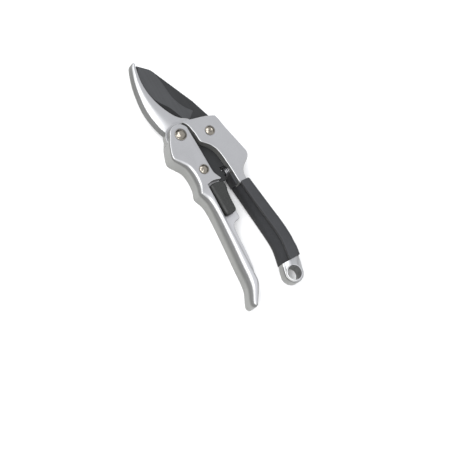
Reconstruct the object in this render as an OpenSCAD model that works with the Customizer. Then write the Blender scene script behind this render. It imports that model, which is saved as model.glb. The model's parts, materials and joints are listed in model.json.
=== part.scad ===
// Ratchet bypass pruning shears, closed, lying on their back face.
// Shapes are drawn round the main pivot: +X to the jaws, +Y to the lower handle, +Z up.
// The finished part is then moved so that its origin is under the middle of its box.

/* [Castings] */
// Thickness of the body and the lower handle
body_t = 17; // [16:0.5:19]
// Thickness of the tongue that the lower handle forks round
tongue_t = 7; // [6.5:0.25:7.5]
// Radius of the tongue round the main pivot
tongue_r = 10.5; // [10:0.1:10.7]
// Thickness of the hook jaw's flat inner web
web_t = 2.2; // [1.9:0.1:2.3]
// Height of the hook jaw's thick back
hook_t = 6; // [5.6:0.1:6.4]

/* [Blade] */
// Thickness of the blade and its tang
blade_t = 3; // [2.6:0.1:3.2]
// Gap between the hook's web and the blade
shear_gap = 0.1; // [0.05:0.05:0.3]

/* [Pivots] */
// Radius of the main bolt's shank
bolt_r = 3; // [2.5:0.1:3.4]
// Radius of the main bolt's domed head
bolt_head_r = 4.6; // [4.2:0.1:5]
// Radius of the blade rivet's shank
blade_rivet_r = 2.6; // [2.2:0.1:2.8]
// Radius of the pawl rivet's shank
pawl_rivet_r = 2; // [1.6:0.1:2.2]
// Radius of the two small rivet heads
rivet_head_r = 3.8; // [3.5:0.1:4]
// Running clearance on the radius of each turning fit
fit = 0.04; // [0.02:0.01:0.08]
// Clearance on the radius where a pin is fixed
snug = 0.02; // [0.01:0.01:0.03]

/* [Washers] */
// Thickness of each blade washer
blade_washer_t = 0.5; // [0.4:0.05:0.6]
// Thickness of each main pivot washer
pivot_washer_t = 0.4; // [0.3:0.05:0.5]

/* [Grip] */
// Height of the grip sleeve
grip_t = 17.6; // [17:0.1:19]
// Thickness of the casting inside the grip
core_t = 10.6; // [9:0.2:12]

/* [Hanging hole] */
// Radius of the hanging hole
hang_r = 5.7; // [5:0.1:6]
// Width of the rim round the hanging hole
hang_rim = 2.1; // [1.2:0.1:2.6]
// Thickness of the end cap
cap_t = 11; // [9:0.5:13]

/* [Springs] */
// Wire radius of the opening spring
spring_wire_r = 0.5; // [0.4:0.05:0.55]
// Radius of the opening spring to the middle of its wire
spring_r = 2.7; // [2.5:0.1:2.9]
// Turns of the opening spring
spring_turns = 8; // [6:1:9]

/* [Thumb lock] */
// Travel of the thumb lock
lock_travel = 8; // [4:0.5:8]
// Height of the thumb lock's button
button_t = 4.9; // [4:0.1:6]
// Height of the flange that carries the thumb lock
flange_top = 12.5; // [12.4:0.1:12.7]

/* [Hidden] */
$fn = 64;

// Middle of the part's box, seen from the main pivot
middle = [-37.7, -11.3];

// Pivot places
blade_axis = [-6.4, -23.2];
pawl_axis = [-31.4, -2.4];
hang_axis = [-131.6, -26.2];
cap_shift = [0.4, -0.8];

// Heights of the layers
mid = body_t / 2;
blade_z = mid - blade_t / 2;
slot_t = blade_t + 2 * blade_washer_t;
slot_z = mid - slot_t / 2;
tongue_z = mid - tongue_t / 2;
fork_t = tongue_t + 2 * pivot_washer_t;
fork_z = mid - fork_t / 2;
fork_r = tongue_r + 0.5;
web_z = blade_z + blade_t + shear_gap;
hook_z = tongue_z;
far = 100;

// Recess for the nut, and for the rivets' formed ends
nut_recess = 3;
nut_recess_r = 5.3;
rivet_recess = 1.2;
rivet_recess_r = 3.8;

// Heights of the flange and of the thicker bed under the lock
flange_bottom = 4.4;
bed_bottom = 2;

// Places of the lock's parts, the detent and the pawl's tip
lock_y = -4;
lock_plate_x = [-66, -53.6];
lock_rivet_x = [-64, -57];
lock_rivet_r = 1.5;
detent_x = -63.4;
ball_r = 1;
ball_z = 6.4;
detent_bottom = 2.8;
// Width of the groove that the detent ball runs in, under the lock plate
groove_w = 2.4;
pawl_reach = [-4.5, -5.4];

// A point on the smooth curve between b and c, with neighbours a and d
function on_curve(a, b, c, d, t) =
    0.5 * (2 * b + (c - a) * t + (2 * a - 5 * b + 4 * c - d) * t * t
    + (3 * b - a - 3 * c + d) * t * t * t);

// A smooth open curve through the points p
function smooth(p, n = 4) = [
    for (i = [0 : len(p) - 2])
        for (k = [0 : n - 1])
            on_curve(p[max(i - 1, 0)], p[i], p[i + 1], p[min(i + 2, len(p) - 1)], k / n),
    p[len(p) - 1]
];

// Points on a circle of radius r, from angle a to angle b
function arc(r, a, b, n = 8) = [
    for (k = [0 : n]) r * [cos(a + (b - a) * k / n), sin(a + (b - a) * k / n)]
];

// The points moved in y
function raised(p, dy) = [for (q = p) [q.x, q.y + dy]];

// The points in the other order
function turned(p) = [for (i = [len(p) - 1 : -1 : 0]) p[i]];

// A ring of points round the wire at a point of a coil
function wire_ring(centre, turn, r, sides) = [
    for (s = [0 : sides - 1])
        let (a = 360 * s / sides)
            centre + r * (cos(a) * [cos(turn), sin(turn), 0] + sin(a) * [0, 0, 1])
];

module place() {
    translate([-middle.x, -middle.y, 0])
        children();
}

module at(p, z = 0) {
    translate([p.x, p.y, z])
        children();
}

// A plate with the given outline
module plate(outline, z, t) {
    translate([0, 0, z])
        linear_extrude(t)
            polygon(outline);
}

// A flat ring
module ring(z, t, outer_r, inner_r) {
    translate([0, 0, z])
        difference() {
            cylinder(h = t, r = outer_r);
            translate([0, 0, -1])
                cylinder(h = t + 2, r = inner_r);
        }
}

// A domed head of radius r and height h that stands on z
module dome(z, r, h) {
    ball = (r * r + h * h) / (2 * h);
    intersection() {
        translate([0, 0, z + h - ball])
            sphere(r = ball);
        translate([0, 0, z])
            cylinder(h = h, r = r);
    }
}

// A coil spring along +Z made of one round wire
module coil(r, wire_r, height, turns, steps = 14, sides = 6) {
    n = turns * steps;
    rings = [
        for (i = [0 : n])
            let (a = 360 * i / steps)
                wire_ring([r * cos(a), r * sin(a), height * i / n], a, wire_r, sides)
    ];
    polyhedron(
        points = [for (q = rings) each q],
        faces = [
            [for (s = [0 : sides - 1]) s],
            [for (s = [sides - 1 : -1 : 0]) n * sides + s],
            for (i = [0 : n - 1])
                for (s = [0 : sides - 1])
                    [i * sides + s, (i + 1) * sides + s,
                     (i + 1) * sides + (s + 1) % sides, i * sides + (s + 1) % sides]
        ]
    );
}

// Outline of the two cheeks of the body
body_inner_edge = smooth([
    [-3.6, -10.9], [-10.6, -11.4], [-13, -13.65], [-17.7, -18.15], [-24.8, -21.05],
    [-39.8, -22.4], [-52, -22.6]
]);
body_back_edge = smooth([
    [-52, -30.7], [-47.2, -30.8], [-42.4, -33.5], [-37.2, -40.2], [-33.2, -42.2],
    [-28.9, -41.4], [-9.8, -36.7], [0.4, -34.5], [3, -33.3]
]);
body_front_edge = smooth([[3, -33.3], [5.4, -25.8], [7.7, -13.65], [8.7, -8.5]]);
cheek_outline = concat(
    arc(tongue_r - 0.2, -32, -90),
    body_inner_edge,
    body_back_edge,
    body_front_edge
);

// Space that the blade and its tang sweep between the cheeks
blade_slot = [
    [40, 40], [-35.4, 40], [-35.4, -25.2], [-32.6, -33.4], [-8, -33.4],
    [-3.6, -36], [-3, -50], [40, -50]
];

// Curves of the hook jaw: its back, its flat face, its shearing edge and its thick back's inside
hook_outer = smooth([
    [6.3, 8.4], [10.8, 10.3], [21, 12.8], [31, 13.4], [41, 12.6], [51, 10.5], [61.2, 6.6],
    [65, 4.4], [66.4, 1.9]
]);
hook_face = smooth([
    [6.2, 6.8], [10.8, 8.8], [21, 11.2], [31, 11.8], [41, 11], [51, 8.9], [61.2, 5.1], [65.8, 2.7]
]);
hook_inner = smooth([
    [64, 1.5], [56.5, 3.3], [47, 4.4], [38.6, 3.7], [30, 1.2], [21.4, -2.8],
    [12.8, -9], [9.2, -13]
]);
hook_ridge = smooth([
    [65, 2.5], [59.6, 5.4], [50.6, 7.6], [41, 9.3], [31, 9.1], [20.6, 7.1],
    [11.3, 3.2], [8.6, -3]
]);

// Middle line of the upper handle under its grip
handle_line = [
    [-51, -26.9], [-60, -27.6], [-80, -29.8], [-100, -31.6], [-110, -31.1], [-123, -29.4]
];
core_half = 4.6;

// Sides of the grip sleeve
grip_inner = [
    [-51.2, -21.3], [-60, -22], [-80, -23.7], [-97, -25], [-106, -25.4], [-114, -24.1],
    [-121.3, -22.2]
];
grip_outer = [
    [-51.2, -33.4], [-60, -34.5], [-80, -37.1], [-97, -39.3], [-106, -39.5], [-114, -38.5],
    [-121.3, -37.2]
];

module grip_layer(inset) {
    height = grip_t - 2 * max(0, 3.6 - inset);
    plate(
        concat(
            smooth(raised(grip_inner, -inset)),
            turned(smooth(raised(grip_outer, inset)))
        ),
        inset > 3 ? 0 : 3.6 - inset,
        height
    );
}

module body_casting() place() color("silver")
    difference() {
        union() {
            difference() {
                plate(cheek_outline, 0, body_t);
                plate(blade_slot, slot_z, slot_t);
            }
            translate([0, 0, tongue_z])
                cylinder(h = tongue_t, r = tongue_r);
            hook_jaw();
            plate(
                concat(
                    smooth(raised(handle_line, core_half)),
                    turned(smooth(raised(handle_line, -core_half)))
                ),
                mid - core_t / 2,
                core_t
            );
            end_cap();
        }
        translate([0, 0, -1])
            cylinder(h = far, r = bolt_r + snug);
        at(blade_axis, -1)
            cylinder(h = far, r = blade_rivet_r + snug);
        at(blade_axis, -1)
            cylinder(h = 1 + rivet_recess, r = rivet_recess_r);
        at(hang_axis, -1)
            cylinder(h = far, r = hang_r);
        spring_pocket();
        plate(buffer_outline, buffer_z, body_t - 2 * buffer_z);
    }

// Hook jaw, kept clear of the fork where it leaves the tongue
module hook_jaw() {
    difference() {
        union() {
            plate(concat(hook_outer, hook_ridge), hook_z, hook_t);
            plate(
                concat(arc(9, -62, 40), hook_face, hook_inner),
                web_z,
                web_t
            );
        }
        translate([0, 0, tongue_z + tongue_t])
            cylinder(h = far, r = 11.6);
    }
}

// End of the upper handle, round the hanging hole
module end_cap() {
    r = hang_r + hang_rim;
    centre = hang_axis + cap_shift;
    plate(
        concat(
            smooth([[-121.3, -22.4], [-125, -20.6], [-129, -19.5], [-131.2, -19.2]]),
            [for (a = [90 : 10 : 270]) centre + r * [cos(a), sin(a)]],
            smooth([[-131.2, -34.8], [-126, -36.3], [-121.3, -37.2]])
        ),
        mid - cap_t / 2,
        cap_t
    );
}

// Blind hole that holds the foot of the opening spring
module spring_pocket() {
    translate([-38.4, -31.2, mid])
        rotate([-90, 0, 0])
            cylinder(h = 12, r = 4.1);
}

module grip_sleeve() place() color("dimgray")
    difference() {
        union() {
            grip_layer(0);
            grip_layer(1.4);
            grip_layer(3.6);
        }
        plate(
            concat(
                smooth(raised(handle_line, core_half)),
                turned(smooth(raised(handle_line, -core_half)))
            ),
            mid - core_t / 2,
            core_t
        );
        plate([[-52, -10], [-52, -45], [-40, -45], [-40, -10]], -1, far);
        plate([[-121.3, -10], [-121.3, -45], [-130, -45], [-130, -10]], -1, far);
    }

// Rubber stop beside the opening spring, let into the inner side of the casting
buffer_z = 2;
buffer_outline = [[-51.9, -23.6], [-42.9, -23.6], [-42.9, -21.4], [-43.7, -20.8], [-51.9, -20.8]];

module stop_buffer() place() color([0.13, 0.12, 0.11])
    plate(buffer_outline, buffer_z, body_t - 2 * buffer_z);

// Cutting edge from the point to its heel, then the side towards the main pivot
blade_edge = smooth([
    [64.2, 0.5], [57, 4.1], [47.5, 5.8], [38.5, 5.2], [30, 2.7], [21.5, -1.2], [13, -7],
    [8, -12.5]
]);
blade_spine = [
    [4.5, -32.6], [21.5, -26.2], [41.8, -16.1], [52, -11.1], [55.6, -9.4], [57.9, -7.8]
];

// The bay that the pawl rides in, and the tail of the tang
tang_bay = [
    [0, -12.2], [-9.2, -11.6], [-15.2, -9.2], [-18.7, -5.9], [-20.6, -2.2], [-22, -1.3],
    [-25, -1.3], [-26.6, -3.2], [-28.3, -6.1], [-31.4, -7.5], [-34.5, -9], [-36.9, -8.7]
];
tang_teeth = [
    for (k = [0 : 2])
        each [
            [-36.9, -8.7] + k * [-2.8, 3.55],
            [-38.2, -8.3] + k * [-2.8, 3.55],
            [-39.4, -6.4] + k * [-2.8, 3.55],
            [-39.1, -5.6] + k * [-2.8, 3.55]
        ]
];
tang_tail = [
    [-45.5, 2.0], [-47.4, 2.2], [-50.8, 0.7], [-52.8, -1.5], [-52, -2.3], [-46.9, -3.9],
    [-45.5, -11.5], [-44.5, -18.2], [-41, -18.1], [-40.7, -20.4], [-38.3, -20.4],
    [-38, -18], [-34.1, -17.7], [-34.6, -24.4], [-31.4, -31.6], [-14, -31.4],
    [-10, -31.2], [-6.4, -31.9], [-3, -31.2]
];

module blade() place() color([0.2, 0.2, 0.21])
    difference() {
        plate(
            concat(blade_edge, tang_bay, tang_teeth, tang_tail, blade_spine),
            blade_z,
            blade_t
        );
        at(blade_axis, -1)
            cylinder(h = far, r = 4 + fit);
    }

module blade_bush() place() color("silver")
    at(blade_axis)
        ring(slot_z, slot_t, 4, blade_rivet_r + snug);

module blade_washers() place() color("white")
    at(blade_axis)
        for (z = [slot_z, blade_z + blade_t])
            ring(z, blade_washer_t, 6.6, 4.1);

// A rivet with a domed head on the front and a formed end in a recess on the back
module rivet(shank_r, head_r, head_h, dimple) {
    translate([0, 0, 0.2])
        cylinder(h = body_t - 0.2, r = shank_r);
    translate([0, 0, 0.2])
        cylinder(h = rivet_recess - 0.2, r = rivet_recess_r - 0.3);
    difference() {
        dome(body_t, head_r, head_h);
        translate([0, 0, body_t + head_h + 0.9])
            sphere(r = dimple);
    }
}

module blade_rivet() place() color("gainsboro")
    at(blade_axis)
        rivet(blade_rivet_r, rivet_head_r, 1.5, 1.4);

module main_bolt() place() color("gainsboro") {
    translate([0, 0, 0.4])
        cylinder(h = body_t - 0.4, r = bolt_r);
    dome(body_t, bolt_head_r, 1.9);
}

module main_nut() place() color("gainsboro")
    difference() {
        translate([0, 0, 0.3])
            cylinder(h = nut_recess - 0.7, r = 4.5, $fn = 6);
        translate([0, 0, -1])
            cylinder(h = nut_recess + 1, r = bolt_r + snug);
    }

module lock_washer() place() color("silver")
    ring(nut_recess - 0.4, 0.4, 4.8, bolt_r + snug);

module pivot_washers() place() color("white")
    for (z = [fork_z, tongue_z + tongue_t])
        ring(z, pivot_washer_t, 7, bolt_r + 0.1);

// Outline of the lower handle without its flange
handle_outer = smooth([
    [3.2, 8.0], [-2.3, 11.6], [-8.5, 14.3], [-13.2, 15.6], [-16, 14.9], [-20.5, 11.8],
    [-24.5, 8.9], [-28.2, 7.8], [-33.5, 7.4], [-40, 8], [-44.5, 9.6], [-47, 10.2],
    [-49.5, 9.4], [-53.5, 7.6], [-58.5, 6.9], [-68.5, 7.1], [-88.5, 8.8], [-108.5, 10.6],
    [-119, 11.4], [-126, 12.9], [-134.2, 17], [-137.2, 18.1], [-139.4, 17.5],
    [-140.4, 15.9], [-139.6, 14]
]);
handle_inner = smooth([
    [-139.6, 14], [-135.5, 10.9], [-130, 6.8], [-125, 4.4], [-120, 4.2], [-100, 4],
    [-80, 3], [-64, 1.7], [-43, 1.1]
]);
lock_ledge = smooth([
    [-43, 1.1], [-42.2, -3.1], [-42.4, -6.8], [-43.2, -10.2], [-42.6, -11.2],
    [-40.1, -10], [-36.6, -8.4], [-33, -8.1]
]);
handle_outline = concat(
    arc(8.6, -68, 62),
    handle_outer,
    handle_inner,
    lock_ledge,
    [[-11.9, -8.1]]
);

// Thin flange along the inner side, with the wide stretch that carries the lock
flange_edge = smooth([
    [-76.4, -6.4], [-77.4, -4.4], [-80.7, -2.3], [-89.3, -1.6], [-99.3, -0.9],
    [-109.3, 0.2], [-115, 1.4], [-124, 5]
]);
flange_outline = concat(
    [[-39, 5], [-39, -6], [-41, -9.6], [-43.6, -10.7], [-60, -10.8], [-74.6, -10.7], [-76.2, -9.4]],
    flange_edge
);
lock_bed = [[-44, 3], [-44, -10.2], [-74.2, -10.2], [-75.8, -9], [-75.8, 4]];

// Space in the handle for the tang, the pawl and the lock plate
tang_slot = [
    [-54.3, -14], [-54.3, -2.8], [-53.6, -0.4], [-51, 2], [-47.4, 3.4], [-44, 3.4],
    [-28, 2.4], [-23, 0.9], [-17, 0.9], [-8, -3], [-8, -14]
];

module lower_handle() place() color("silver")
    difference() {
        union() {
            plate(handle_outline, 0, body_t);
            plate(flange_outline, flange_bottom, flange_top - flange_bottom);
            plate(lock_bed, bed_bottom, mid - bed_bottom);
        }
        translate([0, 0, fork_z])
            cylinder(h = fork_t, r = fork_r);
        plate(tang_slot, slot_z, slot_t);
        lock_space();
        translate([0, 0, -1])
            cylinder(h = far, r = bolt_r + fit);
        translate([0, 0, -1])
            cylinder(h = 1 + nut_recess, r = nut_recess_r);
        at(pawl_axis, -1)
            cylinder(h = far, r = pawl_rivet_r + snug);
        at(pawl_axis, -1)
            cylinder(h = 1 + rivet_recess, r = rivet_recess_r);
        at(pawl_axis, mid)
            cylinder(h = 3.6, r = 3.7);
    }

// Channel of the lock plate, slot of its rivets and pocket of the detent
module lock_space() {
    half_w = 2.9;
    translate([lock_plate_x[0] - lock_travel - 0.5, lock_y - half_w, blade_z - 0.1])
        cube([lock_travel + 13, 2 * half_w, blade_t + 0.2]);
    translate([lock_rivet_x[0] - lock_travel, lock_y - lock_rivet_r - 0.2, mid])
        cube([lock_rivet_x[1] - lock_rivet_x[0] + lock_travel, 2 * lock_rivet_r + 0.4, far]);
    for (x = [lock_rivet_x[0] - lock_travel, lock_rivet_x[1]])
        translate([x, lock_y, mid])
            cylinder(h = far, r = lock_rivet_r + 0.2);
    translate([detent_x, lock_y, detent_bottom])
        cylinder(h = mid - detent_bottom, r = ball_r + fit);
}

module pawl_rivet() place() color("gainsboro")
    at(pawl_axis)
        rivet(pawl_rivet_r, rivet_head_r - 0.05, 1.5, 0.9);

module ratchet_pawl() place() color("gray")
    at(pawl_axis)
        difference() {
            union() {
                translate([0, 0, blade_z + 0.1])
                    cylinder(h = blade_t - 0.2, r = 3.4);
                plate(
                    [
                        [-3.2, 0.8], pawl_reach + [-1.2, 0.3], pawl_reach + [-0.7, -0.3],
                        pawl_reach + [0.5, -0.2], [0.6, -3.2]
                    ],
                    blade_z + 0.1,
                    blade_t - 0.2
                );
            }
            cylinder(h = far, r = pawl_rivet_r + fit);
        }

module pawl_spring() place() color("silver")
    at(pawl_axis)
        translate([0, 0, slot_z + slot_t])
            coil(2.7, 0.3, 1.2, 2, 16);

module opening_spring() place() color("lightgray")
    translate([-38.4, -30.6, mid])
        rotate([-90, 0, 4.6])
            coil(spring_r, spring_wire_r, 11.8, spring_turns);

module thumb_lock() place() color([0.16, 0.16, 0.16])
    difference() {
        union() {
            plate(button_outline(0), flange_top + 0.1, button_t - 1.2);
            plate(button_outline(1), flange_top + 0.1, button_t);
        }
        for (x = lock_rivet_x)
            translate([x, lock_y, 0])
                cylinder(h = flange_top + 2.1, r = lock_rivet_r + snug);
    }

// Outline of the thumb lock's button, drawn in by an inset
function button_outline(i) = smooth([
    [-56, 0.6 - i], [-68, 0.6 - i], [-70.2 + i, -0.6 - i / 2], [-70.6 + i, -4],
    [-70 + i, -8], [-68, -9.2 + i], [-62, -9.6 + i], [-54.8, -10.4 + i],
    [-49.5, -11.7 + i], [-46.2, -11.2 + i], [-44.8 - i, -8.6], [-44.1 - i, -4.6],
    [-44.5 - i, -0.8 - i / 2], [-46.4, 0.6 - i], [-56, 0.6 - i]
], 3);

module lock_plate() place() color("gray")
    difference() {
        translate([lock_plate_x[0], lock_y - 2.6, blade_z])
            cube([lock_plate_x[1] - lock_plate_x[0], 5.2, blade_t]);
        for (x = lock_rivet_x)
            translate([x, lock_y, 0])
                cylinder(h = far, r = lock_rivet_r + snug);
        translate([detent_x - groove_w / 2, lock_y - groove_w / 2, 0])
            cube([lock_travel + groove_w, groove_w, blade_z + 0.7]);
    }

module lock_rivets() place() color("gainsboro")
    for (x = lock_rivet_x)
        translate([x, lock_y, blade_z + 0.9])
            cylinder(h = flange_top + 1.2 - blade_z, r = lock_rivet_r);

module detent_ball() place() color("silver")
    translate([detent_x, lock_y, ball_z])
        sphere(r = ball_r);

module detent_spring() place() color("silver")
    translate([detent_x, lock_y, detent_bottom + 0.2])
        coil(0.7, 0.16, ball_z - ball_r - detent_bottom - 0.4, 4, 10, 5);

body_casting();
grip_sleeve();
stop_buffer();
blade();
blade_rivet();
blade_bush();
blade_washers();
main_bolt();
main_nut();
lock_washer();
pivot_washers();
lower_handle();
pawl_rivet();
ratchet_pawl();
pawl_spring();
opening_spring();
thumb_lock();
lock_plate();
lock_rivets();
detent_ball();
detent_spring();
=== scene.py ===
"""Ratchet bypass pruning shears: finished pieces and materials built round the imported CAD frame."""
import json
import math

import bmesh
import bpy
import numpy as np
from bpy.props import FloatProperty, FloatVectorProperty, IntProperty, PointerProperty
from bpy.types import Operator, Panel, PropertyGroup
from mathutils import Matrix, Vector


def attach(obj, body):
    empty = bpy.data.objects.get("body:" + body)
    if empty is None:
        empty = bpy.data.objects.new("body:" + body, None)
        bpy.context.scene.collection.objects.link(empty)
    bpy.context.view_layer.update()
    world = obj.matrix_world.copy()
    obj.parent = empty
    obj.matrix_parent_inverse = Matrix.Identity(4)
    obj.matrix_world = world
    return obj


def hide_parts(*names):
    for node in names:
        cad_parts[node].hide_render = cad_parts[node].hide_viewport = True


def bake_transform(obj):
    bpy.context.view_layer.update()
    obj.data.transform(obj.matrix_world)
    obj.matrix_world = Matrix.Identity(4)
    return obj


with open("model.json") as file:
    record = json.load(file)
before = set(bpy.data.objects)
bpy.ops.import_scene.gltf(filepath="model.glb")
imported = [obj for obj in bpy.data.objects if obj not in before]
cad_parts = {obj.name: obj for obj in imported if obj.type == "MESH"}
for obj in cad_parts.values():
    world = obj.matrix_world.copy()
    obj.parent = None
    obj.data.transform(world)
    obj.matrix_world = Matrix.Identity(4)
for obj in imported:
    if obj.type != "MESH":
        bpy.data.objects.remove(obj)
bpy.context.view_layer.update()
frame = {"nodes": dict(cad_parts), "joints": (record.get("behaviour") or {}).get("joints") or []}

bl_info = {
    "name": "Pruning Shears",
    "version": (1, 0, 0),
    "blender": (4, 5, 0),
    "location": "View3D > Sidebar > Shears",
    "description": "Builds the castings, blade, grip and fittings of ratchet pruning shears",
    "category": "Add Mesh",
}

JOINTS = {joint["name"]: joint for joint in frame["joints"]}
MAIN_PIVOT = Vector(JOINTS["handle_open"]["pos_m"])


def from_pivot(joint):
    """Place of a joint's axis in millimetres, seen from the main pivot."""
    spot = (Vector(JOINTS[joint]["pos_m"]) - MAIN_PIVOT) * 1000
    return spot.x, spot.y


BLADE_AXIS = from_pivot("blade_open")
PAWL_AXIS = from_pivot("pawl_swing")
MAIN_AXIS = (0.0, 0.0)
HANG_AXIS = (-131.6, -26.2)


# ---------------------------------------------------------------- sizes and colours


class ShearsSizes(PropertyGroup):
    """Sizes of the finished surfaces, in metres."""

    body_top: FloatProperty(
        name="Body top", description="Height of the castings' front face",
        default=0.017, min=0.016, max=0.019, unit="LENGTH")
    edge_round: FloatProperty(
        name="Edge round", description="Rounding of the castings' thin edges",
        default=0.0008, min=0.0003, max=0.0012, unit="LENGTH")
    grind_depth: FloatProperty(
        name="Grind depth", description="Depth of the hollow ground into the blade's face",
        default=0.00028, min=0.0001, max=0.0006, unit="LENGTH")
    hang_radius: FloatProperty(
        name="Hanging hole radius", description="Radius of the hole in the end cap",
        default=0.0057, min=0.005, max=0.006, unit="LENGTH")
    spring_turns: IntProperty(
        name="Spring turns", description="Turns of the opening spring",
        default=8, min=5, max=10)
    grain_size: FloatProperty(
        name="Casting grain", description="Size of the grain of the blasted castings",
        default=0.00035, min=0.0001, max=0.001, unit="LENGTH")
    camera_distance: FloatProperty(
        name="Camera distance", description="Distance from the camera to the shears",
        default=0.9375, min=0.5, max=2.0, unit="LENGTH")


class ShearsColours(PropertyGroup):
    """Colours of the finishes, linear RGB."""

    casting: FloatVectorProperty(
        name="Casting", description="Blasted aluminium of the body and the lower handle",
        subtype="COLOR", default=(0.43, 0.432, 0.445), min=0, max=1)
    grip: FloatVectorProperty(
        name="Grip", description="Rubber of the grip sleeve",
        subtype="COLOR", default=(0.03, 0.031, 0.034), min=0, max=1)
    blade: FloatVectorProperty(
        name="Blade", description="Dark coating of the blade",
        subtype="COLOR", default=(0.018, 0.0186, 0.0198), min=0, max=1)
    blade_hollow: FloatVectorProperty(
        name="Ground hollow", description="Coating on the ground hollow of the blade",
        subtype="COLOR", default=(0.027, 0.028, 0.0305), min=0, max=1)
    rivet: FloatVectorProperty(
        name="Rivets", description="Polished steel of the rivets",
        subtype="COLOR", default=(0.24, 0.22, 0.19), min=0, max=1)
    lock: FloatVectorProperty(
        name="Thumb lock", description="Textured plastic of the thumb lock",
        subtype="COLOR", default=(0.011, 0.012, 0.011), min=0, max=1)
    floor: FloatVectorProperty(
        name="Floor", description="Pale floor under the shears",
        subtype="COLOR", default=(0.92, 0.92, 0.92), min=0, max=1)


def sizes():
    """Sizes that the sidebar shows."""
    return bpy.context.scene.shears_sizes


def colours():
    """Colours that the sidebar shows."""
    return bpy.context.scene.shears_colours


# ---------------------------------------------------------------- curves

SAME_POINT = 0.02  # millimetres


def place(points):
    """Millimetres round the main pivot to metres in the part's frame."""
    moved = np.array(points, float) / 1000
    moved[:, 0] += MAIN_PIVOT.x
    moved[:, 1] += MAIN_PIVOT.y
    return moved


def smooth(points, steps=6, closed=False):
    """Smooth curve through rows of numbers."""
    p = np.array(points, float)
    n = len(p)
    curve = []
    for i in range(n if closed else n - 1):
        if closed:
            a, b, c, d = p[i - 1], p[i], p[(i + 1) % n], p[(i + 2) % n]
        else:
            a, b, c, d = p[max(i - 1, 0)], p[i], p[i + 1], p[min(i + 2, n - 1)]
        for k in range(steps):
            t = k / steps
            curve.append(0.5 * (2 * b + (c - a) * t + (2 * a - 5 * b + 4 * c - d) * t * t
                                + (3 * b - a - 3 * c + d) * t ** 3))
    if not closed:
        curve.append(p[-1])
    return np.array(curve)


def arc(radius, start, end, steps, extra=(), centre=(0, 0)):
    """Points on a circle, each followed by the extra columns."""
    return np.array([
        [centre[0] + radius * math.cos(a), centre[1] + radius * math.sin(a), *extra]
        for a in np.radians(np.linspace(start, end, steps + 1))])


def edged(points, *extra):
    """Points of an outline, each followed by the same extra columns."""
    return [[point[0], point[1], *extra] for point in points]


def join(*runs):
    """One closed outline from several runs, counter-clockwise, with no doubled points."""
    outline = np.concatenate([np.array(run, float) for run in runs])
    keep = np.linalg.norm(outline[:, :2] - np.roll(outline[:, :2], 1, 0), axis=1) > SAME_POINT
    outline = outline[keep]
    x, y = outline[:, 0], outline[:, 1]
    turning = np.sum(x * np.roll(y, -1) - y * np.roll(x, -1))
    return outline if turning > 0 else outline[::-1]


def inward(outline):
    """Unit normals that point into a counter-clockwise outline."""
    along = np.roll(outline[:, :2], -1, 0) - np.roll(outline[:, :2], 1, 0)
    along /= np.linalg.norm(along, axis=1)[:, None]
    return np.stack([-along[:, 1], along[:, 0]], 1)


# ---------------------------------------------------------------- meshes

FLAT_RIM = 0.12  # flat ring between a rounded edge and the face, in millimetres
WELD = 0.003  # points closer than this, in millimetres, become one
NO_LENGTH = 0.002  # edges shorter than this are dissolved
LEAST_SIDE = 0.12  # share of its length that an outline's side keeps when it moves inwards
MOST_PASSES = 400  # evening passes before the outline is taken as it is


def new_piece(name, verts, faces):
    """Object made of the given points; pieces are modelled in millimetres round the main pivot."""
    mesh = bpy.data.meshes.new(name)
    mesh.from_pydata([tuple(v) for v in verts], [], faces)
    bm = bmesh.new()
    bm.from_mesh(mesh)
    bmesh.ops.recalc_face_normals(bm, faces=bm.faces)
    bm.to_mesh(mesh)
    bm.free()
    piece = bpy.data.objects.new(name, mesh)
    bpy.context.scene.collection.objects.link(piece)
    return piece


def rings_to_piece(name, rings):
    """Closed skin over rings of the same number of points, given in millimetres."""
    count = len(rings[0])
    verts = np.concatenate(rings)
    faces = []
    for i in range(len(rings) - 1):
        for j in range(count):
            k = (j + 1) % count
            faces.append((i * count + j, i * count + k, (i + 1) * count + k, (i + 1) * count + j))
    last = (len(rings) - 1) * count
    faces.append(tuple(range(count - 1, -1, -1)))
    faces.append(tuple(range(last, last + count)))
    return new_piece(name, verts, faces)


def inset_steps(outline, width):
    """Step inwards for each point of an outline, evened out wherever the inner ring would fold."""
    flat = outline[:, :2]
    step = inward(outline) * np.reshape(width, (-1, 1))
    side = np.roll(flat, -1, 0) - flat
    for _ in range(MOST_PASSES):
        inner = side + np.roll(step, -1, 0) - step
        folded = np.sum(inner * side, 1) < LEAST_SIDE * np.sum(side * side, 1)
        if not folded.any():
            break
        near = folded | np.roll(folded, 1) | np.roll(folded, -1) | np.roll(folded, 2)
        evened = (np.roll(step, 1, 0) + 2 * step + np.roll(step, -1, 0)) / 4
        step[near] = evened[near]
    return step


def plate(name, outline, low, high, under=0.6, steps=6):
    """Plate whose outline columns are x, y, then width and depth of the rounding of its upper edge.

    A fifth column may hold the width of a soft lower edge, which is twice as high as it is wide.
    """
    flat = outline[:, :2]
    depth = outline[:, 3]
    width = outline[:, 2] + FLAT_RIM
    step = inset_steps(outline, width)
    soft = outline[:, 4] if outline.shape[1] > 4 else np.zeros(len(flat))
    under_width = np.maximum(under, soft)
    under_height = np.maximum(under, 2 * soft)
    under_step = inset_steps(outline, under_width)
    rings = []
    for a in np.radians(np.linspace(90, 0, steps)):
        height = low + under_height * (1 - math.sin(a))
        rings.append(np.column_stack([flat + under_step * (1 - math.cos(a)), height]))
    for a in np.radians(np.linspace(0, 90, steps + 1)):
        reach = ((1 - math.cos(a)) * outline[:, 2] / width)[:, None]
        rings.append(np.column_stack([flat + step * reach, high - depth + depth * math.sin(a)]))
    rings.append(np.column_stack([flat + step, np.full(len(flat), high)]))
    return rings_to_piece(name, rings)


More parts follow.
